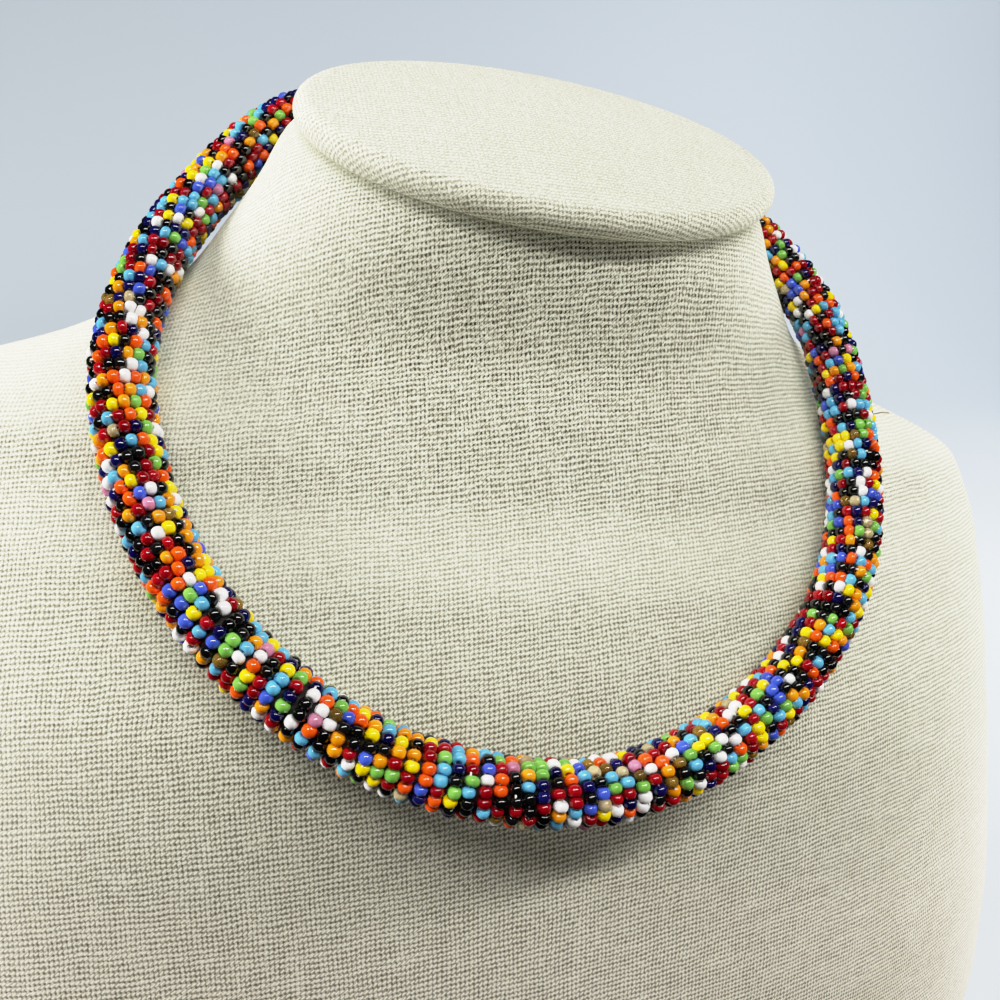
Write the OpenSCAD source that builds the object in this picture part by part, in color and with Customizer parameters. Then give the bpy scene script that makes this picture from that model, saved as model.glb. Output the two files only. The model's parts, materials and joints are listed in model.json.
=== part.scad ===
// Beaded collar necklace on a neck bust, in millimetres.
// A stiff round rope of seed beads lies round the neck of a padded display bust covered in cloth.
// +Z is up, the chest faces -Y, and the origin is the middle of the flat base.

/* [Bust] */
// Width over the base of the bust
bust_w = 308; // [300:1:320]
// Reach of the chest in front of the origin
chest_reach = 67; // [64:1:70]
// Reach of the back behind the origin
back_reach = 58; // [56:1:62]
// Height of the neck's slanted top at its middle
neck_top = 213.4; // [212.6:0.2:214.2]
// Width of the neck just under its cap
neck_w = 105; // [103:0.5:106]

/* [Neck cap] */
// Width of the oval cap over its rim
cap_w = 104.4; // [103:0.2:108]
// Depth of the oval cap over its rim
cap_d = 67.8; // [66:0.2:72]
// Thickness of the rolled rim
cap_rim = 6.4; // [5:0.2:8]
// Rise of the padded top over the rim
cap_crown = 2.2; // [1:0.1:4]
// Forward slant of the cap and of the neck's top, in degrees
cap_slant = 20; // [18:1:22]

/* [Beaded rope] */
// Thickness of the rope over its beads
rope_d = 12; // [11:0.1:12.4]

/* [Clasp] */
// Length of the barrel clasp
clasp_l = 15; // [12:0.5:16]
// Thickness of the barrel clasp
clasp_d = 9; // [7:0.5:11]
// Thickness of the rounding at the barrel's ends
clasp_round = 1.2; // [0.4:0.1:2]

/* [Hidden] */

piece_gap = 0.25;      // left between pieces that touch
around = 72;           // points round a section of the bust and of the cap
ring_step = 5;         // height from ring to ring on the bust
rope_sides = 12;
rings_per_span = 3;    // rings of the rope from one point of its route to the next
cap_x = 1;             // middle of the cap, side to side
cap_y = 24;            // middle of the cap, front to back

// Sections of the bust from the base up. Columns: height, half width, front and back reach,
// the line where the section is widest, squareness and forward slant.
col_z = 0;
col_half = 1;
col_front = 2;
col_back = 3;
col_mid = 4;
col_square = 5;
col_slant = 6;
arm = bust_w / 2;
sections = [
    [0, arm - 7, chest_reach - 4, back_reach - 4, 9, 2.9, 0],
    [4, arm - 1.5, chest_reach - 0.8, back_reach - 0.8, 9, 3, 0],
    [12, arm, chest_reach, back_reach, 9, 3, 0],
    [50, arm - 5, chest_reach - 3.5, back_reach, 10, 2.9, 0],
    [85, arm - 13, chest_reach - 10, back_reach, 12, 2.7, 0],
    [115, arm - 18.5, chest_reach - 15, back_reach, 15, 2.3, 0],
    [138, arm - 20, 37.5, 57, 18, 1.95, 0],
    [155, arm - 27, 21.5, 55, 21, 1.75, 0],
    [170, 90.5, 12.5, 54, 24, 1.7, 2],
    [182, 70.8, 7, 54.5, 25, 1.9, 6],
    [192, 63.2, 5.8, 55, 25, 2.1, 10],
    [202, 56.5, 5.4, 55, 25, 2.3, 15],
    [210, neck_w / 2, 5.2, 54, 25, 2.2, 18.5],
    [neck_top, neck_w / 2 - 3, 3.4, 51.8, 25, 2.1, cap_slant]
];

// Route of the rope's middle, from the clasp round the left shoulder, the chest and the right
// shoulder back to the clasp.
route = [
    [-8, 62, 214],
    [-19, 61.5, 214.5],
    [-36, 58, 215],
    [-51, 49.5, 211.5],
    [-66, 36, 198],
    [-76, 18.5, 184.5],
    [-80, -2, 170],
    [-75.5, -21, 153.5],
    [-64, -38, 139],
    [-48.5, -49.5, 128.5],
    [-32.5, -56, 122],
    [-16.5, -60.5, 119.5],
    [-1, -62, 119],
    [15, -60, 121.5],
    [30, -55, 126],
    [44.5, -47, 132.5],
    [58, -36, 143.5],
    [68, -20, 157],
    [72.5, -1.5, 172.5],
    [72, 18, 188.5],
    [63.5, 36, 201],
    [51, 50, 209.5],
    [36, 58.5, 213],
    [19, 61.5, 214],
    [8, 62, 214]
];

// Slope at a point between two spans, kept flat at a peak so that no curve swells past its points.
function mid_slope(h0, h1, d0, d1) =
    d0 * d1 <= 0 ? 0 : 3 * (h0 + h1) / ((2 * h1 + h0) / d0 + (h1 + 2 * h0) / d1);

// Slope of one column of the section table at row i.
function rise(i, c) =
    (sections[i + 1][c] - sections[i][c]) / (sections[i + 1][col_z] - sections[i][col_z]);
function row_slope(i, c) =
    i == 0 ? rise(0, c)
    : i == len(sections) - 1 ? rise(i - 1, c)
    : mid_slope(sections[i][col_z] - sections[i - 1][col_z],
        sections[i + 1][col_z] - sections[i][col_z], rise(i - 1, c), rise(i, c));

// Value of column c at share t of the span above row i.
function cubic(a, b, slope_a, slope_b, h, t) =
    a * (1 + 2 * t) * pow(1 - t, 2) + h * slope_a * t * pow(1 - t, 2)
    + b * t * t * (3 - 2 * t) - h * slope_b * t * t * (1 - t);
function between(i, c, t) =
    cubic(sections[i][c], sections[i + 1][c], row_slope(i, c), row_slope(i + 1, c),
        sections[i + 1][col_z] - sections[i][col_z], t);
function section_at(i, t) = [for (c = [col_z:col_slant]) between(i, c, t)];

// A rounded section: an oval whose corners fill out as its squareness grows.
function signed_pow(v, e) = sign(v) * pow(abs(v), e);
function oval_point(s, a) =
    let (x = s[col_half] * signed_pow(sin(a), 2 / s[col_square]),
        reach = cos(a) > 0 ? s[col_mid] + s[col_front] : s[col_back] - s[col_mid],
        y = -reach * signed_pow(cos(a), 2 / s[col_square]))
    [x, s[col_mid] + y, s[col_z] + y * tan(s[col_slant])];
function ring_of(s) = [for (k = [0:around - 1]) oval_point(s, 360 * k / around)];

// A closed skin over a stack of rings that run the same way round.
module skin(rings) {
    n = len(rings[0]);
    last = len(rings) - 1;
    points = [for (r = rings) each r];
    walls = [for (j = [0:last - 1], k = [0:n - 1])
        let (a = j * n + k, b = j * n + (k + 1) % n)
        each [[a, b + n, b], [a, a + n, b + n]]];
    start = [for (k = [0:n - 1]) k];
    end = [for (k = [n - 1:-1:0]) last * n + k];
    polyhedron(points, concat([start], walls, [end]), convexity = 8);
}

// The body: the sections stacked up from the base to the neck's slanted top.
module bust_form() {
    spans = len(sections) - 2;
    rings = [for (i = [0:spans])
        let (steps = max(2, round(rise_height(i) / ring_step)))
        for (k = [0:steps - 1]) ring_of(section_at(i, k / steps))];
    color("antiquewhite") skin(concat(rings, [ring_of(sections[spans + 1])]));
}
function rise_height(i) = sections[i + 1][col_z] - sections[i][col_z];

// The cap's outline, drawn in from its edge by inset and lifted over its underside by lift.
function cap_ring(inset, lift) = [for (k = [0:around - 1])
    let (a = 360 * k / around)
    [(cap_w / 2 - inset) * sin(a), -(cap_d / 2 - inset) * cos(a), lift]];

module neck_cap() {
    r = cap_rim / 2;
    roll = [for (a = [-90:22.5:90]) cap_ring(r * (1 - cos(a)), r * (1 + sin(a)))];
    top_d = cap_d / 2 - r;
    top_w = cap_w / 2 - r;
    crown = [for (t = [0.8, 0.6, 0.4, 0.2])
        [for (k = [0:around - 1])
            let (a = 360 * k / around)
            [t * top_w * sin(a), -t * top_d * cos(a), cap_rim + cap_crown * (1 - t * t)]]];
    color("ivory")
        translate([cap_x, cap_y, neck_top + (cap_y - sections[len(sections) - 1][col_mid]) * tan(cap_slant)])
            rotate([cap_slant, 0, 0])
                translate([0, 0, piece_gap]) skin(concat(roll, crown));
}

// A smooth curve through the points of the route.
function spline(p0, p1, p2, p3, t) =
    0.5 * (2 * p1 + (p2 - p0) * t + (2 * p0 - 5 * p1 + 4 * p2 - p3) * t * t
        + (3 * p1 - p0 - 3 * p2 + p3) * t * t * t);
function spline_way(p0, p1, p2, p3, t) =
    0.5 * ((p2 - p0) + 2 * (2 * p0 - 5 * p1 + 4 * p2 - p3) * t
        + 3 * (3 * p1 - p0 - 3 * p2 + p3) * t * t);
function route_point(i) =
    i < 0 ? 2 * route[0] - route[1]
    : i >= len(route) ? 2 * route[len(route) - 1] - route[len(route) - 2]
    : route[i];
function unit(v) = v / norm(v);

// A ring of points round place p, square to the way the rope runs.
function rope_ring(p, way) =
    let (side = unit(cross([0, 0, 1], way)), up = unit(cross(way, side)))
    [for (k = [0:rope_sides - 1])
        let (a = 360 * k / rope_sides)
        p + rope_d / 2 * (cos(a) * side + sin(a) * up)];

// The rope's ends are square to the barrel and stop just short of it.
module beaded_rope() {
    spans = len(route) - 1;
    rings = [for (i = [0:spans - 1], k = [0:rings_per_span - 1])
        let (p = [for (j = [i - 1:i + 2]) route_point(j)], t = k / rings_per_span)
        rope_ring(spline(p[0], p[1], p[2], p[3], t), spline_way(p[0], p[1], p[2], p[3], t))];
    color("firebrick")
        skin(concat(rings, [rope_ring(route[spans], unit(route[spans] - route[spans - 1]))]));
}

// The barrel that joins the rope's two ends behind the neck.
module clasp() {
    flat_r = clasp_d / 2 - clasp_round;
    color("darkgoldenrod")
        translate([-clasp_l / 2, route[0].y, route[0].z])
            rotate([0, 90, 0])
                rotate_extrude($fn = 48)
                    union() {
                        translate([0, clasp_round]) square([clasp_d / 2, clasp_l - 2 * clasp_round]);
                        square([flat_r, clasp_l]);
                        for (z = [clasp_round, clasp_l - clasp_round])
                            translate([flat_r, z]) circle(clasp_round, $fn = 24);
                    }
}

bust_form();
neck_cap();
beaded_rope();
clasp();
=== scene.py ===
import json
import math
import bpy
from mathutils import Matrix, Vector

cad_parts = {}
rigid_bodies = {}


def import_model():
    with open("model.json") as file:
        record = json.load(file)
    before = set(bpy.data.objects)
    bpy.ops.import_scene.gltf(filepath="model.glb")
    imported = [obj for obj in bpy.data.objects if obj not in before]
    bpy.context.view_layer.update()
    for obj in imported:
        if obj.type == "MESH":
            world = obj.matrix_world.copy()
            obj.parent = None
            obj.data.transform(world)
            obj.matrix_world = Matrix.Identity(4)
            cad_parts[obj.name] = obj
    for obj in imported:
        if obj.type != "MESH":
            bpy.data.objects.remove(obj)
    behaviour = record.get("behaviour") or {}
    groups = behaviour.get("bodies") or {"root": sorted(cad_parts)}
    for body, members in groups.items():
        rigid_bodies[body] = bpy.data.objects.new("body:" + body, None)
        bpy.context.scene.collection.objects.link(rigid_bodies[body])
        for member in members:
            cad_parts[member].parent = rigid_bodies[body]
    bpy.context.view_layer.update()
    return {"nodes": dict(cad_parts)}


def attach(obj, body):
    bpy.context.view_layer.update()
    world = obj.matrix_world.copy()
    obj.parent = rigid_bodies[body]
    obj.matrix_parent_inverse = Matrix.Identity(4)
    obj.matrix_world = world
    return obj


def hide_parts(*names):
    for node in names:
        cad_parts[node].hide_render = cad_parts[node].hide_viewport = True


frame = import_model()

scene = bpy.context.scene
mm = 0.001
clothUnit = 100    # mm of cloth to one unit of its UV map


def fromHex(text):
    # display colour to the linear colour that shaders use
    parts = [int(text[i:i + 2], 16) / 255 for i in (0, 2, 4)]
    return [p / 12.92 if p <= 0.04045 else ((p + 0.055) / 1.055) ** 2.4 for p in parts]


def softStep(value, low, high):
    # 0 under low, 1 over high, and a soft rise from one to the other
    t = min(1.0, max(0.0, (value - low) / (high - low)))
    return t * t * (3 - 2 * t)


# Node writing

class Link:
    # one socket of a node tree, which can be used in ordinary arithmetic
    def __init__(self, tree, socket):
        self.tree = tree
        self.socket = socket

    def __add__(self, other):
        return self.tree.maths("ADD", self, other)

    def __radd__(self, other):
        return self.tree.maths("ADD", other, self)

    def __sub__(self, other):
        return self.tree.maths("SUBTRACT", self, other)

    def __rsub__(self, other):
        return self.tree.maths("SUBTRACT", other, self)

    def __mul__(self, other):
        return self.tree.maths("MULTIPLY", self, other)

    def __rmul__(self, other):
        return self.tree.maths("MULTIPLY", other, self)

    def __truediv__(self, other):
        return self.tree.maths("DIVIDE", self, other)

    def __rtruediv__(self, other):
        return self.tree.maths("DIVIDE", other, self)

    def __gt__(self, other):
        return self.tree.maths("GREATER_THAN", self, other)

    def __lt__(self, other):
        return self.tree.maths("LESS_THAN", self, other)

    def __abs__(self):
        return self.tree.maths("ABSOLUTE", self)


class Tree:
    # a shader or geometry node tree that nodes are added to in one way
    def __init__(self, tree):
        self.tree = tree

    def add(self, kind, settings=None, inputs=None, out=None):
        node = self.tree.nodes.new(kind)
        for name, value in (settings or {}).items():
            setattr(node, name, value)
        for name, value in (inputs or {}).items():
            self.feed(self.find(node.inputs, name), value)
        return Link(self, self.find(node.outputs, out))

    def find(self, sockets, name):
        # by its place in the row, by its name, or the first one that is in use
        usable = [s for s in sockets if s.enabled]
        if name is None:
            return usable[0]
        if isinstance(name, int):
            return sockets[name]
        return next(s for s in usable if s.name == name)

    def feed(self, socket, value):
        if isinstance(value, Link):
            self.tree.links.new(value.socket, socket)
        elif isinstance(value, (list, tuple)) and socket.type == "RGBA":
            socket.default_value = [*value, 1.0][:4]
        else:
            socket.default_value = value

    def maths(self, operation, a, b=None):
        inputs = {0: a} if b is None else {0: a, 1: b}
        return self.add("ShaderNodeMath", {"operation": operation}, inputs)

    def sine(self, a):
        return self.maths("SINE", a)

    def cosine(self, a):
        return self.maths("COSINE", a)

    def floor(self, a):
        return self.maths("FLOOR", a)

    def fraction(self, a):
        return self.maths("FRACT", a)

    def root(self, a):
        return self.maths("SQRT", a)

    def larger(self, a, b):
        return self.maths("MAXIMUM", a, b)

    def between(self, a, low, high):
        # 0 under low, 1 over high, and a soft rise from one to the other
        return self.add("ShaderNodeMapRange", {"interpolation_type": "SMOOTHSTEP"},
                        {"Value": a, "From Min": low, "From Max": high})

    def vector(self, operation, a, b):
        return self.add("ShaderNodeVectorMath", {"operation": operation}, {0: a, 1: b})

    def scaled(self, a, scale):
        return self.add("ShaderNodeVectorMath", {"operation": "SCALE"}, {0: a, "Scale": scale})

    def join(self, x, y, z=0.0):
        return self.add("ShaderNodeCombineXYZ", None, {0: x, 1: y, 2: z})

    def part(self, vector, axis):
        return self.add("ShaderNodeSeparateXYZ", None, {0: vector}, axis)

    def noise(self, place, scale, detail=2.0, roughness=0.5):
        return self.add("ShaderNodeTexNoise", None,
                        {"Vector": place, "Scale": scale, "Detail": detail, "Roughness": roughness})

    def mix(self, factor, a, b, blend="MIX"):
        return self.add("ShaderNodeMix", {"data_type": "RGBA", "blend_type": blend},
                        {0: factor, 6: a, 7: b}, 2)


class Finish(Tree):
    # a material with one Principled shader, whose even values are set on its own sockets
    sockets = {"colour": "Base Color", "roughness": "Roughness", "metallic": "Metallic",
               "sheen": "Sheen Weight", "sheenRoughness": "Sheen Roughness", "normal": "Normal",
               "specular": "Specular IOR Level", "transmission": "Transmission Weight"}

    def __init__(self, name, **even):
        self.material = bpy.data.materials.new(name)
        self.material.use_nodes = True
        Tree.__init__(self, self.material.node_tree)
        self.shader = next(n for n in self.tree.nodes if n.type == "BSDF_PRINCIPLED")
        for socket, value in even.items():
            self.set(socket, value)

    def set(self, socket, value):
        self.feed(self.shader.inputs[self.sockets[socket]], value)

    def raised(self, height, distance, strength=1.0):
        self.set("normal", self.add("ShaderNodeBump", None, {
            "Height": height, "Distance": distance, "Strength": strength}, "Normal"))

    def spot(self):
        # where a point of the piece is, in metres
        return self.add("ShaderNodeTexCoord", None, None, "Object")

    def stored(self, name):
        # a value that is kept on the mesh
        return self.add("ShaderNodeAttribute", {"attribute_name": name}, None, "Fac")


# Meshes and pieces

def linkObject(name, data):
    obj = bpy.data.objects.new(name, data)
    scene.collection.objects.link(obj)
    return obj


def smoothMesh(name, points, faces):
    mesh = bpy.data.meshes.new(name)
    mesh.from_pydata(points, [], faces)
    mesh.shade_smooth()
    return mesh


def skinFaces(rings, count):
    # faces between each ring of points and the next, and one over each end
    faces = []
    for j in range(rings - 1):
        for k in range(count):
            after = (k + 1) % count
            faces.append((j * count + k, j * count + after,
                          (j + 1) * count + after, (j + 1) * count + k))
    faces.append(list(range(count - 1, -1, -1)))
    faces.append([(rings - 1) * count + k for k in range(count)])
    return faces


def finishPiece(obj, slotName, *nodes):
    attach(obj, "root")
    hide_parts(*nodes)
    return obj


# Cloth on the bust and its cap

linen = {
    "rowPitch": 1.01 * mm,       # weft threads, up the bust
    "columnPitch": 0.84 * mm,    # warp threads, across it
    "thread": fromHex("7f7b64"),
    "threadPale": fromHex("eef0db"),
    # painted shade seen through the holes of the weave
    "hole": fromHex("27231a"),
    "relief": 0.09 * mm,
    # the chest's warmer tint, which also brightens it as painted light, its share and the heights between
    # which it fades, in metres
    "chest": (1.36, 1.14, 1.3),
    "chestShare": 0.36,
    "chestFade": (0.06, 0.14),
    # large faint stains
    "stain": fromHex("c9bf9f"),
    "stainShare": 0.1,
    "stainScale": 2.5,
    "stainFade": (0.35, 0.75),
    # scale of each wander of the rows and columns, and its reach in threads
    "wander": ((9.0, 1.5), (70.0, 0.2)),
    "changeAlong": 0.06,         # how fast a thread's thickness and tone change along it
    # twist, width, how far it swells, height and rise at a crossing
    "warp": (0.2, 0.5, 0.4, 0.6, 0.25),
    "weft": (0.3, 0.7, 0.5, 0.7, -0.25),
    "middleHeight": 0.62,
    # holes: size, spread of sizes, how far threads fill them, softness of edge and slant
    "holeSize": 0.62,
    "holeSpread": 0.12,
    "holeFill": 0.28,
    "holeEdge": 0.1,
    "holeSlant": (0.1, 0.3),
    "holePale": (0.35, 0.3),     # how much paler some holes are, and all where the ridges show
    "fibreSlant": 0.5,
    "fibreScale": (0.6, 2.9),
    "grainScale": 2.4,
    # the heights between which the threads' twisted ridges fade, in metres
    "ridgedFade": (0.1, 0.18),
    "ridgeRagged": 0.4,
    "ridgeWidth": 0.24,
    # in these the second number is added where the ridges show
    "ridgeSlant": (0.4, 0.25),
    "ridgeLength": (0.65, -0.2),
    # the second number of even is painted shade, which darkens the cloth low on the neck and down the
    # chest
    "even": (0.5, -0.1),
    "fibre": (2.1, -0.9),
    "grain": (2.0, -0.9),
    "ridge": (0.5, 0.8),
    # what else lights a thread
    # painted light that brightens the threads down the chest
    "chestLight": 0.08,
    "tone": 0.5,
    "height": 0.3,
    "shadeFade": (0.04, 1.12),
    "leastShade": 0.4,
    # painted light: where the cloth faces up or sideways, the painted shade of its holes and threads
    # fades: from, to and how far
    "litUp": (0.5, 0.95, 0.95),
    "litSide": (0.12, 0.62, 0.56),
}


def threadCount(f, flat, axis, pitch, chance):
    # threads counted along the flat cloth, with a wander, so that the rows are never ruled lines
    count = f.part(flat, axis) * (clothUnit * mm / pitch)
    for scale, reach in linen["wander"]:
        count = count + f.noise(chance, scale) * reach
    return count


def threadHeight(f, own, other, noise, over, shape):
    # a round thread with a slight twist, which rises and dips at the crossings
    twist, width, swell, height, rise = shape
    off = abs(own - other * twist) * 2.0
    body = f.root(f.larger(1.0 - off * off / (width + noise * swell), 0.0))
    return body * (height + over * rise)


def holeBetween(f, room, noise, own, other, slant):
    # what two neighbouring threads leave open
    edge = linen["holeEdge"]
    return f.between(room - noise * linen["holeFill"] - abs(own - other * slant) * 2.0, -edge, edge)


def linenMaterial(name, smooth=0.0):
    # a plain weave with painted shade in its holes and threads: smooth cloth has less relief, and its
    # shade changes less with how much painted shade the weave shows
    f = Finish(name, roughness=0.85, sheen=0.1, sheenRoughness=0.6, specular=0.2)
    flat = f.add("ShaderNodeUVMap", {"uv_map": "cloth"})
    # down the chest the cloth is a little warmer and brighter, with painted light, and its twisted ridges
    # show more than its holes
    altitude = f.part(f.spot(), "Z")
    low = 1.0 - f.between(altitude, *linen["chestFade"])
    ridged = 1.0 - f.between(altitude, *linen["ridgedFade"])
    u = threadCount(f, flat, "X", linen["columnPitch"], flat)
    v = threadCount(f, flat, "Y", linen["rowPitch"], f.vector("ADD", flat, (7.3, 2.1, 0.0)))
    fromColumn = f.fraction(u) - 0.5
    fromRow = f.fraction(v) - 0.5
    # thickness and tone change slowly along each thread, and no two neighbours are alike
    slow = linen["changeAlong"]
    warpNoise = f.noise(f.join(f.floor(u) * 0.37, v * slow), 1.0, 3.0, 0.6)
    weftNoise = f.noise(f.join(u * slow, f.floor(v) * 0.41, 5.0), 1.0, 3.0, 0.6)
    over = f.sine(u * math.pi) * f.sine(v * math.pi)   # which thread is on top at a crossing
    warpHigh = threadHeight(f, fromColumn, fromRow, warpNoise, over, linen["warp"])
    weftHigh = threadHeight(f, fromRow, fromColumn, weftNoise, over, linen["weft"])
    height = f.larger(warpHigh, weftHigh)
    # a hole shows where four threads part, and some are closed by a thick place in a thread
    luck = f.add("ShaderNodeTexWhiteNoise", {"noise_dimensions": "2D"},
                 {"Vector": f.join(f.floor(u + 0.5), f.floor(v + 0.5))}, "Value")
    holeAcross = f.fraction(u + 0.5) - 0.5
    holeUp = f.fraction(v + 0.5) - 0.5
    room = linen["holeSize"] - luck * linen["holeSpread"]
    slantAcross, slantUp = linen["holeSlant"]
    paleByLuck, paleByRidges = linen["holePale"]
    gap = holeBetween(f, room, warpNoise, holeAcross, holeUp, slantAcross) \
        * holeBetween(f, room, weftNoise, holeUp, holeAcross, slantUp) \
        * (1.0 - luck * paleByLuck) * (1.0 - ridged * paleByRidges)
    fibreAlong, fibreAcross = linen["fibreScale"]
    fibrePlace = f.join(u * fibreAlong, (v - u * linen["fibreSlant"]) * fibreAcross, 2.0)
    fibre = f.noise(fibrePlace, 1.0, 2.0) - 0.5
    grain = f.noise(f.join(u * linen["grainScale"], v * linen["grainScale"], 9.0), 1.0, 1.0) - 0.5

    def weight(key):
        start, change = linen[key]
        return start + ridged * change

    # twisted fibres catch the light in a short slanted ridge on each crossing
    slant = abs(fromRow - fromColumn * weight("ridgeSlant"))
    ridge = (1.0 - f.between(slant + fibre * linen["ridgeRagged"], 0.0, linen["ridgeWidth"])) \
        * (1.0 - f.between(abs(fromColumn) * 2.0, weight("ridgeLength"), 1.0))
    tone = warpNoise + (weftNoise - warpNoise) * (weftHigh > warpHigh) - 0.5
    # painted light down the chest and painted shade where the ridges show are part of this
    light = weight("even") + low * linen["chestLight"] + tone * linen["tone"] \
        + fibre * weight("fibre") + grain * weight("grain") \
        + (height - linen["middleHeight"]) * linen["height"] + ridge * weight("ridge")
    # how much painted shade the holes and threads show, less where the cloth faces up or sideways
    shadeShare = f.stored("weaveShade")
    least = linen["leastShade"] + 0.5 * smooth
    shade = (1.0 - f.between(light, *linen["shadeFade"])) * (least + (1.0 - least) * shadeShare)
    thread = f.mix(shade, linen["threadPale"], linen["thread"])
    # painted shade in the holes, as far as the weave's shade share allows
    cloth = f.mix(gap * shadeShare, thread, linen["hole"])
    cloth = f.mix(low * linen["chestShare"], cloth, linen["chest"], "MULTIPLY")
    stain = f.between(f.noise(flat, linen["stainScale"], 3.0, 0.6), *linen["stainFade"])
    f.set("colour", f.mix(stain * linen["stainShare"], cloth, linen["stain"], "MULTIPLY"))
    f.raised(height - gap * 0.5, linen["relief"], 1.0 - 0.55 * smooth)
    return f.material


def shadeWeave(mesh, most):
    # the painted shade in the weave's holes and threads: full down the front, less round the sides, and
    # faint where the cloth faces up, as painted light
    layer = mesh.attributes.new("weaveShade", "FLOAT", "POINT")
    upFrom, upTo, upShare = linen["litUp"]
    sideFrom, sideTo, sideShare = linen["litSide"]
    for vertex, value in zip(mesh.vertices, layer.data):
        up = softStep(vertex.normal.z, upFrom, upTo)
        side = softStep(abs(vertex.normal.x), sideFrom, sideTo)
        value.value = most * (1 - upShare * up) * (1 - sideShare * side)


bust = {
    # how much painted shade the body's weave shows at most
    "weaveShade": 1.0,    # of the weave
    "fill": 1.0,        # of the padding
    "around": 144,
    "tighter": 0.13,    # how far points gather where a section turns tighter
    "ringStep": 1.5,
    # how the cloth is pulled: columns by length round the body, height and depth, rows by these and a bow
    "columns": (0.975, 0.14, -0.2),
    "rows": (-0.16, 0.8, 0.72, -0.0008),
    # columns crowd together round the right side: from, over and how fast
    "crowd": (20, 60, 0.0018),
    # rows are stretched apart on the slope of the neck: from height to height, and by how much
    "stretch": (144, 188, 4.8),
    # height, half width, front reach, back reach, widest line, squareness and slant, in mm and degrees
    "sections": [
        (0, 147, 63, 54, 9, 2.9, 0),
        (4, 152.5, 66.2, 57.2, 9, 3, 0),
        (12, 154, 67, 58, 9, 3, 0),
        (50, 149, 63.5, 58, 10, 2.9, 0),
        (85, 141, 57, 58, 12, 2.7, 0),
        (115, 135.5, 52, 58, 15, 2.3, 0),
        (138, 134, 37.5, 57, 18, 1.95, 0),
        (155, 127, 21.5, 55, 21, 1.75, 0),
        (170, 90.5, 12.5, 54, 24, 1.7, 2),
        (182, 70.8, 7, 54.5, 25, 1.9, 6),
        (192, 63.2, 5.8, 55, 25, 2.1, 10),
        (202, 56.5, 5.4, 55, 25, 2.3, 15),
        (210, 52.5, 5.2, 54, 25, 2.2, 18.5),
        (213.4, 49.5, 3.4, 51.8, 25, 2.1, 20),
    ],
}


def tableSlopes(rows, column):
    # slopes through the table's rows that never swell past them
    rise = [(b[column] - a[column]) / (b[0] - a[0]) for a, b in zip(rows, rows[1:])]
    gap = [b[0] - a[0] for a, b in zip(rows, rows[1:])]
    slopes = [rise[0]]
    for i in range(1, len(rise)):
        low, high = rise[i - 1], rise[i]
        flat = low * high <= 0
        slopes.append(0.0 if flat else 3 * (gap[i - 1] + gap[i]) / (
            (2 * gap[i] + gap[i - 1]) / low + (gap[i] + 2 * gap[i - 1]) / high))
    return slopes + [rise[-1]]


def tableRows(rows, step):
    # the table's rows with smooth ones between them, about a step apart
    slopes = [tableSlopes(rows, c) for c in range(len(rows[0]))]
    out = []
    for i, (a, b) in enumerate(zip(rows, rows[1:])):
        gap = b[0] - a[0]
        steps = max(2, round(gap / step))
        for k in range(steps):
            t = k / steps
            out.append([
                a[c] * (1 + 2 * t) * (1 - t) ** 2 + gap * slopes[c][i] * t * (1 - t) ** 2
                + b[c] * t * t * (3 - 2 * t) - gap * slopes[c][i + 1] * t * t * (1 - t)
                for c in range(len(a))])
    return out + [list(rows[-1])]


def signedPower(value, power):
    return math.copysign(abs(value) ** power, value)


def bustPoint(row, angle):
    height, half, front, back, middle, square, slant = row
    x = half * signedPower(math.sin(angle), 2 / square)
    reach = middle + front if math.cos(angle) > 0 else back - middle
    y = -reach * signedPower(math.cos(angle), 2 / square)
    return Vector((x, middle + y, height + y * math.tan(math.radians(slant)))) * mm


def clothPlace(across, point):
    # where a point of the body lies on the flat cloth, both in mm
    along, up, back = bust["columns"]
    tilt, climb, depth, bow = bust["rows"]
    start, width, growth = bust["crowd"]
    past = max(0.0, across - start)
    bent = min(past, width)
    crowd = growth * (bent * bent + 2 * width * (past - bent))
    low, high, most = bust["stretch"]
    stretch = most * softStep(point.z, low, high)
    column = across * along + crowd + point.z * up + point.y * back
    row = across * tilt + point.z * climb + point.y * depth + across * across * bow - stretch
    return column / clothUnit, row / clothUnit


def lengthsRound(ring):
    # length along a ring of points, from the middle of the chest
    lengths = [0.0]
    for a, b in zip(ring, ring[1:]):
        lengths.append(lengths[-1] + (b - a).length)
    return [length - lengths[len(ring) // 2] for length in lengths]


def buildBust():
    rows = tableRows(bust["sections"], bust["ringStep"])
    count = bust["around"]
    angles = [math.pi * (2 * k / count - 1) for k in range(count + 1)]
    angles = [a + bust["tighter"] * math.sin(4 * a) for a in angles]
    rings = [[bustPoint(row, a) for a in angles] for row in rows]
    across = [lengthsRound(ring) for ring in rings]
    points = [point for ring in rings for point in ring[:-1]]
    faces = skinFaces(len(rings), count)
    uvs = [clothPlace(across[row][column] / mm, rings[row][column] / mm)
           for j in range(len(rings) - 1) for k in range(count)
           for row, column in ((j, k), (j, k + 1), (j + 1, k + 1), (j + 1, k))]
    for face, mirrored in ((faces[-2], -1), (faces[-1], 1)):
        uvs += [(points[i].x / (clothUnit * mm) * mirrored, points[i].y / (clothUnit * mm)) for i in face]
    mesh = smoothMesh("bust_cloth", points, faces)
    layer = mesh.uv_layers.new(name="cloth")
    for loop, uv in zip(layer.data, uvs):
        loop.uv = uv
    shadeWeave(mesh, bust["weaveShade"])
    mesh.materials.append(linenMaterial("linenBody"))
    piece = finishPiece(linkObject("bust_cloth", mesh), "linen", "bust_form")


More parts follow.
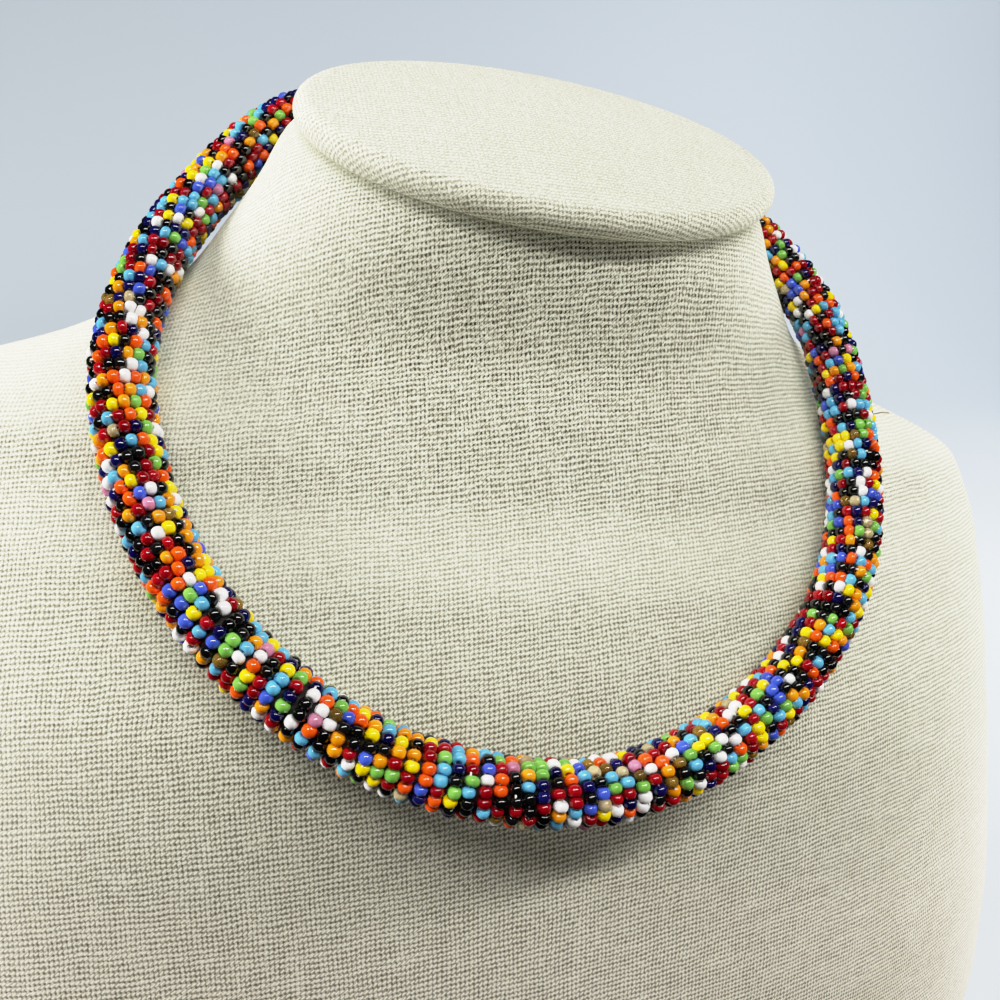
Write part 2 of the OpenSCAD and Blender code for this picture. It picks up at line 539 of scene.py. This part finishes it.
cap = {
    "width": 104.4, "depth": 67.8, "rim": 6.4, "crown": 2.2,
    "x": 1, "y": 24, "z": 213.4, "bustMiddle": 25, "slant": 20, "gap": 0.25,
    "around": 144,
    "rollSteps": 12,
    "crownRings": (1.0, 0.93, 0.85, 0.75, 0.6, 0.45, 0.3, 0.15),    # shares of the way out
    # the cap's weave shows less painted shade than the body's
    "weaveShade": 0.65,
    "smooth": 0.5,
    "fill": 0.9,
}


def buildCap():
    r = cap["rim"] / 2
    slant = math.radians(cap["slant"])
    z = cap["z"] + (cap["y"] - cap["bustMiddle"]) * math.tan(slant)
    place = Matrix.Translation((cap["x"], cap["y"], z)) @ Matrix.Rotation(slant, 4, "X") \
        @ Matrix.Translation((0, 0, cap["gap"]))
    halfWide, halfDeep = cap["width"] / 2, cap["depth"] / 2
    # each ring's inset from the outline, height over the underside and share of the way out
    rings = []
    for k in range(cap["rollSteps"]):
        turn = math.pi * k / cap["rollSteps"]
        rings.append((r * (1 - math.sin(turn)), r * (1 - math.cos(turn)), 1.0))
    for t in cap["crownRings"]:
        rings.append((r, cap["rim"] + cap["crown"] * (1 - t * t), t))
    count = cap["around"]
    angles = [2 * math.pi * k / count for k in range(count)]
    points = []
    spans = []
    for inset, lift, t in rings:
        for a in angles:
            flat = ((halfWide - inset) * math.sin(a) * t, -(halfDeep - inset) * math.cos(a) * t)
            points.append(place @ Vector((*flat, lift)) * mm)
            spans.append(flat)
    # cloth runs on over the rim, so its place grows by the length along the roll
    outer = 0.0
    for j in reversed(range(cap["rollSteps"])):
        a, b = rings[j + 1], rings[j]
        outer += math.hypot(a[0] - b[0], a[1] - b[1])
        for k, angle in enumerate(angles):
            spans[j * count + k] = ((halfWide - r + outer) * math.sin(angle),
                                    -(halfDeep - r + outer) * math.cos(angle))
    mesh = smoothMesh("cap_cloth", points, skinFaces(len(rings), count))
    layer = mesh.uv_layers.new(name="cloth")
    for loop, spot in zip(mesh.loops, layer.data):
        x, y = spans[loop.vertex_index]
        spot.uv = (x / clothUnit, y / clothUnit)
    shadeWeave(mesh, cap["weaveShade"])
    mesh.materials.append(linenMaterial("linenCap", cap["smooth"]))
    piece = finishPiece(linkObject("cap_cloth", mesh), "linen", "neck_cap")


# The rope of seed beads

rope = {
    "thickness": 12.0 * mm,
    "beadAcross": 2.52 * mm,
    "beadLong": 2.15 * mm,
    "beadProfile": ((0.42, 0.96), (0.75, 0.76), (0.95, 0.4), (1.0, 0.0)),   # from the hole to the middle
    "beadSides": 11,
    "beadsPerTurn": 16.3,
    "turnPitch": 2.47 * mm,
    "seed": 11,
    # how far a bead strays: in or out, along the rope, by leaning and by turning on its thread
    "strayOut": (-0.22 * mm, 0.12 * mm),
    "strayAlong": 0.18 * mm,
    "lean": 0.13,
    "spin": 3.1,
    # how far whole rings lean and bunch, and how quickly that changes
    "drift": 2.2 * mm,
    "driftScale": 90.0,
    # spread of the beads' width and length
    "wide": (0.94, 1.07),
    "long": (0.86, 1.06),
    # the thread's radius, and how far it stands out where its draw is over the limit
    "thread": 0.17 * mm,
    "threadColours": ("cfcabd", "fbf8ef"),
    "slack": 0.9 * mm,
    "slackOver": 0.95,
    # the end of the beading thread that sticks out at the right shoulder, in mm
    "threadEnd": [(74.4, -5.4, 171.6), (77.2, -6.3, 171.9), (79.0, -6.8, 172.5), (81.3, -7.4, 172.7)],
    "threadEndRadius": 0.16 * mm,
    # darker than the beading thread: painted shade, as the end lies in shadow
    "threadEndShadedColours": ("857a61", "a89c80"),
    # a dark core inside the beads, painted shade that makes the gaps between them dark
    "coreInset": 0.7 * mm,
    "coreShadeColours": ("0b0908", "241e1a"),
    # the rope's middle, in mm: from the clasp round the left shoulder, the chest and the right shoulder
    "route": [
        (-8, 62, 214), (-19, 61.5, 214.5), (-36, 58, 215), (-51, 49.5, 211.5), (-66, 36, 198),
        (-76, 18.5, 184.5), (-80, -2, 170), (-75.5, -21, 153.5), (-64, -38, 139),
        (-48.5, -49.5, 128.5), (-32.5, -56, 122), (-16.5, -60.5, 119.5), (-1, -62, 119),
        (15, -60, 121.5), (30, -55, 126), (44.5, -47, 132.5), (58, -36, 143.5), (68, -20, 157),
        (72.5, -1.5, 172.5), (72, 18, 188.5), (63.5, 36, 201), (51, 50, 209.5), (36, 58.5, 213),
        (19, 61.5, 214), (8, 62, 214),
    ],
}

# name, parts in a hundred, colour, how much each bead's tone differs, and how clear its glass is
beadColours = [
    ("black", 21, "040405", 0.3, 0.0),
    ("navy", 10, "0b084c", 0.4, 0.25),
    ("ruby", 17.5, "9c0210", 0.35, 0.25),
    ("orange", 7.5, "f6520b", 0.12, 0.0),
    ("amber", 6, "f08f0b", 0.12, 0.0),
    ("yellow", 8, "f8d506", 0.1, 0.0),
    ("green", 6, "73b34a", 0.15, 0.0),
    ("sky", 11, "5babd6", 0.15, 0.0),
    ("blue", 5.5, "3c53c6", 0.25, 0.0),
    ("white", 8.5, "f4f2f1", 0.05, 0.0),
    ("bronze", 1.5, "a07c30", 0.5, 0.6),
    ("rose", 1.5, "f79cc0", 0.25, 0.45),
    ("champagne", 1, "ecd5a6", 0.3, 0.55),
]


def splinePoint(points, i, t):
    p1, p2 = points[i], points[i + 1]
    p0 = points[i - 1] if i else 2 * p1 - p2
    p3 = points[i + 2] if i + 2 < len(points) else 2 * p2 - p1
    return 0.5 * (2 * p1 + (p2 - p0) * t + (2 * p0 - 5 * p1 + 4 * p2 - p3) * t * t
                  + (3 * p1 - p0 - 3 * p2 + p3) * t ** 3)


def splineLine(route, steps):
    # a smooth line through places given in mm, with so many steps from one to the next
    points = [Vector(p) * mm for p in route]
    return [splinePoint(points, i, k / steps) for i in range(len(points) - 1) for k in range(steps)]


def ropeMiddle():
    line = splineLine(rope["route"], 10)
    line.append(Vector(rope["route"][-1]) * mm)
    length = sum((b - a).length for a, b in zip(line, line[1:]))
    mesh = bpy.data.meshes.new("ropeMiddle")
    mesh.from_pydata(line, [(i, i + 1) for i in range(len(line) - 1)], [])
    return mesh, length


def beadMesh():
    # a short round ring of glass with a narrow hole through it
    outer, half = rope["beadAcross"] / 2, rope["beadLong"] / 2
    upper = rope["beadProfile"]
    lower = [(r, -h) for r, h in reversed(upper[:-1])]
    profile = [(r * outer, h * half) for r, h in (*upper, *lower)]
    sides = rope["beadSides"]
    points = []
    for k in range(sides):
        a = 2 * math.pi * k / sides
        points += [(r * math.cos(a), r * math.sin(a), h) for r, h in profile]
    n = len(profile)
    faces = [(k * n + i, k * n + (i + 1) % n, (k + 1) % sides * n + (i + 1) % n, (k + 1) % sides * n + i)
             for k in range(sides) for i in range(n)]
    return smoothMesh("bead", points, faces)


class Winding(Tree):
    # a Geometry Nodes tree that lays things in one close winding round a line
    def __init__(self, name, sizes):
        group = bpy.data.node_groups.new(name, "GeometryNodeTree")
        Tree.__init__(self, group)
        self.ids = {}
        sizes = {"Line": ("Geometry", None), **sizes, "Material": ("Material", None)}
        for label, (kind, value) in sizes.items():
            socket = group.interface.new_socket(label, in_out="INPUT", socket_type="NodeSocket" + kind)
            if value is not None:
                socket.default_value = value
            self.ids[label] = socket.identifier
        group.interface.new_socket("Winding", in_out="OUTPUT", socket_type="NodeSocketGeometry")
        self.given = group.nodes.new("NodeGroupInput")

    def take(self, name):
        return Link(self, self.given.outputs[name])

    def uprightLine(self):
        line = self.add("GeometryNodeMeshToCurve", None, {"Mesh": self.take("Line")})
        return self.add("GeometryNodeSetCurveNormal", {"mode": "Z_UP"}, {"Curve": line})

    def turned(self, a, b, turn):
        # direction a, turned towards direction b
        return self.vector("ADD", self.scaled(a, self.cosine(turn)), self.scaled(b, self.sine(turn)))

    def chance(self, index, low, high, draw, kind="FLOAT"):
        # each draw is a random row of its own, with one value for each index
        return self.add("FunctionNodeRandomValue", {"data_type": kind}, {
            "Min": low, "Max": high, "ID": index, "Seed": self.take("Seed") + float(draw)}, "Value")

    def finish(self, shape):
        shape = self.add("GeometryNodeRealizeInstances", None, {"Geometry": shape})
        shape = self.add("GeometryNodeSetMaterial", None,
                         {"Geometry": shape, "Material": self.take("Material")})
        last = self.tree.nodes.new("NodeGroupOutput")
        self.tree.links.new(shape.socket, last.inputs[0])
        return self


def beadWinding():
    # the beads of one colour, each at its own places in the winding
    t = Winding("beadWinding", {
        "Bead": ("Object", None), "Beads": ("Int", 3000),
        "Beads per Turn": ("Float", rope["beadsPerTurn"]), "Winding Radius": ("Float", 4.8 * mm),
        "Share Low": ("Float", 0.0), "Share High": ("Float", 1.0),
        "Looseness": ("Float", 1.0), "Seed": ("Int", rope["seed"])})
    spots = t.add("GeometryNodeCurveToPoints", {"mode": "COUNT"},
                  {"Curve": t.uprightLine(), "Count": t.take("Beads")})
    node = spots.socket.node
    along = Link(t, node.outputs["Tangent"])
    up = Link(t, node.outputs["Normal"])
    side = t.vector("CROSS_PRODUCT", along, up)
    index = t.add("GeometryNodeInputIndex")
    turn = index / t.take("Beads per Turn") * (2 * math.pi)
    outward = t.turned(up, side, turn)
    onward = t.turned(side, t.scaled(up, -1.0), turn)
    loose = t.take("Looseness")
    radius = t.take("Winding Radius") + t.chance(index, *rope["strayOut"], 1) * loose
    astray = t.chance(index, -rope["strayAlong"], rope["strayAlong"], 2) * loose
    shift = t.vector("ADD", t.scaled(outward, radius), t.scaled(along, astray))
    spots = t.add("GeometryNodeSetPosition", None, {"Geometry": spots, "Offset": shift})
    # rings lean and bunch a little from one stretch to the next
    drift = t.noise(t.add("GeometryNodeInputPosition"), rope["driftScale"], 1.0) - 0.5
    drift = t.scaled(along, drift * loose * rope["drift"])
    spots = t.add("GeometryNodeSetPosition", None, {"Geometry": spots, "Offset": drift})
    facing = t.add("FunctionNodeAxesToRotation", {"primary_axis": "Z", "secondary_axis": "X"},
                   {"Primary Axis": onward, "Secondary Axis": outward})
    most = (rope["lean"], rope["lean"], rope["spin"])
    lean = t.chance(index, [-angle for angle in most], most, 3, "FLOAT_VECTOR")
    leaning = t.add("FunctionNodeEulerToRotation", None, {0: lean})
    facing = t.add("FunctionNodeRotateRotation", {"rotation_space": "LOCAL"},
                   {"Rotation": facing, "Rotate By": leaning})
    wide = t.chance(index, *rope["wide"], 4)
    size = t.join(wide, wide, t.chance(index, *rope["long"], 5))
    # one draw gives every bead its colour, and each run of the tree keeps the beads of one
    draw = t.chance(index, 0.0, 1.0, 6)
    keep = (draw > t.take("Share Low")) * (draw < t.take("Share High"))
    bead = t.add("GeometryNodeObjectInfo", None, {"Object": t.take("Bead")}, "Geometry")
    beads = t.add("GeometryNodeInstanceOnPoints", None, {
        "Points": spots, "Selection": keep, "Instance": bead, "Rotation": facing, "Scale": size})
    beads = t.add("GeometryNodeStoreNamedAttribute", {"data_type": "FLOAT", "domain": "INSTANCE"},
                  {"Geometry": beads, "Name": "tone", "Value": t.chance(index, 0.0, 1.0, 7)})
    return t.finish(beads)


def threadWinding():
    # the thread that runs through the holes, wound like the beads and drawn tight
    t = Winding("threadWinding", {
        "Points": ("Int", 3000), "Points per Turn": ("Float", rope["beadsPerTurn"]),
        "Winding Radius": ("Float", 4.8 * mm), "Thread": ("Float", 0.2 * mm),
        "Slack": ("Float", rope["slack"]), "Seed": ("Int", rope["seed"])})
    line = t.add("GeometryNodeResampleCurve", {"mode": "COUNT"},
                 {"Curve": t.uprightLine(), "Count": t.take("Points")})
    along = t.add("GeometryNodeInputTangent")
    up = t.add("GeometryNodeInputNormal")
    side = t.vector("CROSS_PRODUCT", along, up)
    index = t.add("GeometryNodeInputIndex")
    outward = t.turned(up, side, index / t.take("Points per Turn") * (2 * math.pi))
    # every second point lies between two beads, and at a few of them the thread stands out
    every = t.maths("MODULO", index, 2.0)
    slack = (t.chance(index, 0.0, 1.0, 0) > rope["slackOver"]) * every * t.take("Slack")
    shift = t.scaled(outward, t.take("Winding Radius") + slack)
    winding = t.add("GeometryNodeSetPosition", None, {"Geometry": line, "Offset": shift})
    ring = t.add("GeometryNodeCurvePrimitiveCircle", {"mode": "RADIUS"},
                 {"Resolution": 5, "Radius": t.take("Thread")})
    return t.finish(t.add("GeometryNodeCurveToMesh", None, {"Curve": winding, "Profile Curve": ring}))


def fromNodes(name, line, winding, values):
    # runs a tree on the line and keeps its result as a plain mesh
    maker = linkObject(name + "Maker", line)
    modifier = maker.modifiers.new("winding", "NODES")
    modifier.node_group = winding.tree
    for key, value in values.items():
        modifier[winding.ids[key]] = value
    evaluated = maker.evaluated_get(bpy.context.evaluated_depsgraph_get())
    mesh = bpy.data.meshes.new_from_object(evaluated)
    mesh.name = name
    maker.modifiers.remove(modifier)
    bpy.data.objects.remove(maker)
    mesh.shade_smooth()
    return linkObject(name, mesh)


def glassMaterial(name, colour, spread, clear):
    f = Finish("glass" + name.capitalize(), roughness=0.06, specular=0.8, transmission=clear)
    base = fromHex(colour)
    dark = [c * (1 - spread) for c in base]
    light = [min(1.0, c * (1 + spread * 0.8) + 0.01 * spread) for c in base]
    f.set("colour", f.mix(f.stored("tone"), dark, light))
    return f.material


def threadMaterial(name, dark, light):
    f = Finish(name, roughness=0.6)
    f.set("colour", f.mix(f.noise(f.spot(), 900.0), fromHex(dark), fromHex(light)))
    return f.material


def coreMaterial():
    # painted shade: the core is dark so that the gaps between the beads look shaded
    f = Finish("ropeCore", roughness=0.9)
    grain = f.noise(f.spot(), 700.0, 3.0)
    dark, light = rope["coreShadeColours"]
    f.set("colour", f.mix(grain, fromHex(dark), fromHex(light)))
    f.raised(grain, 0.2 * mm)
    return f.material


def tubeMesh(name, line, radius, sides=16):
    # a plain round tube along a line, closed at both ends
    points = []
    last = len(line) - 1
    for i, place in enumerate(line):
        way = (line[min(i + 1, last)] - line[max(i - 1, 0)]).normalized()
        side = Vector((0, 0, 1)).cross(way).normalized()
        up = way.cross(side)
        for k in range(sides):
            a = 2 * math.pi * k / sides
            points.append(place + radius * (math.cos(a) * side + math.sin(a) * up))
    return smoothMesh(name, points, skinFaces(len(line), sides))


def addBeads(line, beads, radius):
    winding = beadWinding()
    model = linkObject("beadModel", beadMesh())
    parts = sum(colour[1] for colour in beadColours)
    low = 0.0
    for name, share, colour, spread, clear in beadColours:
        high = low + share / parts
        piece = fromNodes("beads_" + name, line, winding, {
            "Bead": model, "Beads": beads, "Winding Radius": radius, "Share Low": low,
            "Share High": high if name != beadColours[-1][0] else 1.1,    # the last takes all that is left
            "Material": glassMaterial(name, colour, spread, clear)})
        finishPiece(piece, "beads", "beaded_rope")
        print("  beads_" + name, len(piece.data.polygons), "faces")
        low = high
    bpy.data.objects.remove(model)


def addThread(line, beads, radius):
    piece = fromNodes("bead_thread", line, threadWinding(), {
        "Points": beads * 2 - 1, "Points per Turn": rope["beadsPerTurn"] * 2, "Winding Radius": radius,
        "Thread": rope["thread"], "Material": threadMaterial("beadingThread", *rope["threadColours"])})
    finishPiece(piece, "beads", "beaded_rope")
    end = tubeMesh("thread_end", splineLine(rope["threadEnd"], 4), rope["threadEndRadius"], 6)
    end.materials.append(threadMaterial("strayThread", *rope["threadEndShadedColours"]))
    finishPiece(linkObject("thread_end", end), "beads", "beaded_rope")


def addCore(line, radius):
    core = tubeMesh("rope_core", [v.co.copy() for v in line.vertices], radius)
    core.materials.append(coreMaterial())
    finishPiece(linkObject("rope_core", core), "beads", "beaded_rope")


def buildRope():
    line, length = ropeMiddle()
    beads = round(length / rope["turnPitch"] * rope["beadsPerTurn"])
    radius = (rope["thickness"] - rope["beadAcross"]) / 2
    print("rope", round(length / mm), "mm long,", beads, "beads")
    addBeads(line, beads, radius)
    addThread(line, beads, radius)
    addCore(line, radius - rope["coreInset"])


claspFinish = {
    "dark": fromHex("b98d3e"),
    "bright": fromHex("dcb86c"),
    "wearScale": 400.0,
}


def dressClasp():
    f = Finish("claspBrass", metallic=1.0)
    wear = f.noise(f.spot(), claspFinish["wearScale"], 4.0, 0.6)
    f.set("colour", f.mix(f.between(wear, 0.35, 0.7), claspFinish["dark"], claspFinish["bright"]))
    f.set("roughness", 0.24 + wear * 0.2)
    f.raised(wear, 0.02 * mm, 0.4)
    clasp = frame["nodes"]["clasp"]
    clasp.data.materials.clear()
    clasp.data.materials.append(f.material)


# Camera, light and backdrop

view = {
    "target": (1.0, 16.1, 138.1), "azimuth": -19.0, "elevation": 22.8, "roll": 9.3,
    "distance": 222.8, "lens": 34.2,
}


def placeCamera():
    az, el, roll = (math.radians(view[k]) for k in ("azimuth", "elevation", "roll"))
    back = Vector((math.sin(az) * math.cos(el), -math.cos(az) * math.cos(el), math.sin(el)))
    right = (-back).cross(Vector((0, 0, 1))).normalized()
    up = right.cross(-back)
    tilted = right * math.cos(roll) + up * math.sin(roll)
    raisedUp = up * math.cos(roll) - right * math.sin(roll)
    data = bpy.data.cameras.new("camera")
    data.sensor_width = 36
    data.lens = view["lens"]
    data.clip_start = 0.01
    obj = linkObject("camera", data)
    turn = Matrix((tilted, raisedUp, back)).transposed().to_4x4()
    obj.matrix_world = Matrix.Translation((Vector(view["target"]) + back * view["distance"]) * mm) @ turn
    scene.camera = obj


# in metres, with the wall's foot rounded by the bend
backdrop = {
    "width": 4.0, "near": -1.6, "far": 1.1, "bend": 0.5, "height": 2.6, "bendSteps": 16,
    "paint": fromHex("bcc6d1"),
    "beyond": fromHex("c9d3dd"),    # what is seen past its edges
    "beyondStrength": 0.6,
}


def buildStage():
    # a floor that curves up into a wall behind
    half, far = backdrop["width"] / 2, backdrop["far"]
    bend, steps = backdrop["bend"], backdrop["bendSteps"]
    profile = [(backdrop["near"], 0.0)]
    for k in range(steps + 1):
        a = math.pi / 2 * k / steps
        profile.append((far - bend + bend * math.sin(a), bend - bend * math.cos(a)))
    profile.append((far, backdrop["height"]))
    points = [(x, y, z) for y, z in profile for x in (-half, half)]
    faces = [(2 * i, 2 * i + 1, 2 * i + 3, 2 * i + 2) for i in range(len(profile) - 1)]
    mesh = smoothMesh("backdrop", points, faces)
    mesh.materials.append(Finish("backdropPaint", roughness=0.9, colour=backdrop["paint"]).material)
    wall = linkObject("backdrop", mesh)
    wall.visible_glossy = False
    wall.visible_diffuse = False


warm = (1.0, 0.985, 0.955)
cool = (0.95, 0.985, 1.04)
collar = (0, -0.04, 0.13)

# each light's place, what it points at and its size, in metres, then its power and its colour
lights = {
    "strip": ((0.05, -0.46, 1.03), collar, (1.6, 0.09), 15.8, warm),
    "sideLeft": ((-0.9, 0.08, 0.3), collar, (0.4, 0.4), 15.0, warm),
    "sideRight": ((0.9, 0.1, 0.3), collar, (0.4, 0.4), 3.0, warm),
    "backLeft": ((-0.7, 0.4, 0.7), collar, (0.4, 0.4), 2.4, warm),
    "lowRight": ((0.5, -0.1, 0.12), (0, 0, 0.15), (0.6, 0.24), 2.4, warm),
    "wallLeft": ((-0.6, 0.35, 1.3), (-0.5, 1.1, 0.4), (1.0, 0.4), 0.1, cool),
    "wallRight": ((1.1, 0.3, 1.0), (1.2, 0.9, 0.1), (0.8, 0.8), 6.6, cool),
    "wallLow": ((0.7, 0.45, 0.6), (0.85, 0.85, 0.1), (0.5, 0.3), 2.4, cool),
}


def areaLight(name, place, aim, size, power, colour):
    data = bpy.data.lights.new(name, "AREA")
    data.shape = "RECTANGLE"
    data.size, data.size_y = size
    data.energy = power
    data.color = colour
    obj = linkObject(name, data)
    obj.location = place
    obj.rotation_euler = (Vector(aim) - Vector(place)).to_track_quat("-Z", "Y").to_euler()
    obj.visible_glossy = name == "strip"    # the only one whose highlight shows in the glass


def lightScene():
    sky = bpy.data.worlds.new("studio")
    sky.use_nodes = True
    t = Tree(sky.node_tree)
    background = next(n for n in sky.node_tree.nodes if n.type == "BACKGROUND")
    t.feed(background.inputs["Color"], backdrop["beyond"])
    t.feed(background.inputs["Strength"], backdrop["beyondStrength"])
    scene.world = sky
    # it is seen past the backdrop's edges but lights nothing
    for ray in ("diffuse", "glossy", "transmission"):
        setattr(sky.cycles_visibility, ray, False)
    for name, settings in lights.items():
        areaLight(name, *settings)


# a soft shoulder, so that the brightest cloth keeps its tone, in pairs of light in and light out
toneCurve = {
    "white": 2.0,
    "shoulder": ((0.25, 0.5), (0.4, 0.73), (0.5, 0.815), (0.65, 0.89)),
    "top": (1.0, 0.97),
}


def setTone():
    look = scene.view_settings
    look.view_transform = "Standard"
    look.use_curve_mapping = True
    look.curve_mapping.white_level = [toneCurve["white"]] * 3
    curve = look.curve_mapping.curves[3]
    for lightIn, lightOut in toneCurve["shoulder"]:
        curve.points.new(lightIn, lightOut)
    curve.points[-1].location = toneCurve["top"]
    for point in list(curve.points)[:2]:
        point.handle_type = "VECTOR"
    look.curve_mapping.update()


placeCamera()
buildStage()
lightScene()
setTone()
print("stage ready")
buildBust()
buildCap()
print("bust ready")
buildRope()
dressClasp()
print("rope ready")
